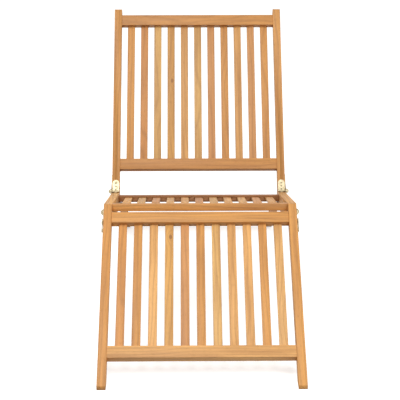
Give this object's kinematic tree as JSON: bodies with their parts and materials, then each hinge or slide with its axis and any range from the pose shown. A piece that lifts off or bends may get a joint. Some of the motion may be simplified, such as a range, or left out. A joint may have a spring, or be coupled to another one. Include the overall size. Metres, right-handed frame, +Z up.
{
  "type": "sun lounger",
  "caption": "Folding slatted teak sun lounger with a sloping leg panel, seat and raised backrest on brass hinges.",
  "frame": {"origin": "on the floor, in the middle of the lounger's length and width", "axes": "+X across towards the sitter's left, +Y from the feet to the head, +Z up"},
  "size_m": [0.6236, 1.4988, 0.7746],
  "materials": {
    "teak": "sanded, lightly oiled",
    "brass": "satin, pale"
  },
  "bodies": {
    "seat_frame": {"seat_rail_left": "teak", "seat_rail_right": "teak", "seat_front_rail": "teak", "seat_rear_rail": "teak", "rear_leg_bolts": "brass", "rear_leg_nuts": "brass", "hip_hinge_seat_leaves": "brass", "hip_hinge_pins": "brass", "knee_straps_seat": "brass", "knee_bolts": "brass", "seat_screws": "brass", "seat_slat_1": "teak", "seat_slat_2": "teak", "seat_slat_3": "teak", "seat_slat_4": "teak", "seat_slat_5": "teak", "seat_slat_6": "teak", "seat_slat_7": "teak", "seat_slat_8": "teak", "seat_slat_9": "teak", "seat_slat_10": "teak", "seat_slat_11": "teak"},
    "back_frame": {"back_stile_left": "teak", "back_stile_right": "teak", "back_top_rail": "teak", "back_bottom_rail": "teak", "hip_hinge_back_leaves": "brass", "hip_straps": "brass", "back_screws": "brass", "back_slat_1": "teak", "back_slat_2": "teak", "back_slat_3": "teak", "back_slat_4": "teak", "back_slat_5": "teak", "back_slat_6": "teak", "back_slat_7": "teak", "back_slat_8": "teak", "back_slat_9": "teak", "back_slat_10": "teak", "back_slat_11": "teak"},
    "leg_frame": {"leg_stile_left": "teak", "leg_stile_right": "teak", "leg_top_rail": "teak", "leg_bottom_rail": "teak", "knee_straps_leg": "brass", "leg_screws": "brass", "leg_slat_1": "teak", "leg_slat_2": "teak", "leg_slat_3": "teak", "leg_slat_4": "teak", "leg_slat_5": "teak", "leg_slat_6": "teak", "leg_slat_7": "teak", "leg_slat_8": "teak", "leg_slat_9": "teak", "leg_slat_10": "teak", "leg_slat_11": "teak"},
    "rear_legs": {"rear_leg_left": "teak", "rear_leg_right": "teak", "rear_leg_rung": "teak"}
  },
  "joints": [
    {"name": "backrest_hinge", "type": "hinge", "parent": "seat_frame", "child": "back_frame", "pos_m": [0, 0.26522, 0.23671], "axis": [1, 0, 0], "range_deg": [0, 112]},
    {"name": "knee_hinge", "type": "hinge", "parent": "seat_frame", "child": "leg_frame", "pos_m": [0, -0.21727, 0.30534], "axis": [1, 0, 0], "range_deg": [0, 120]},
    {"name": "rear_leg_hinge", "type": "hinge", "parent": "seat_frame", "child": "rear_legs", "pos_m": [0, 0.22375, 0.20006], "axis": [-1, 0, 0], "range_deg": [0, 160]}
  ]
}
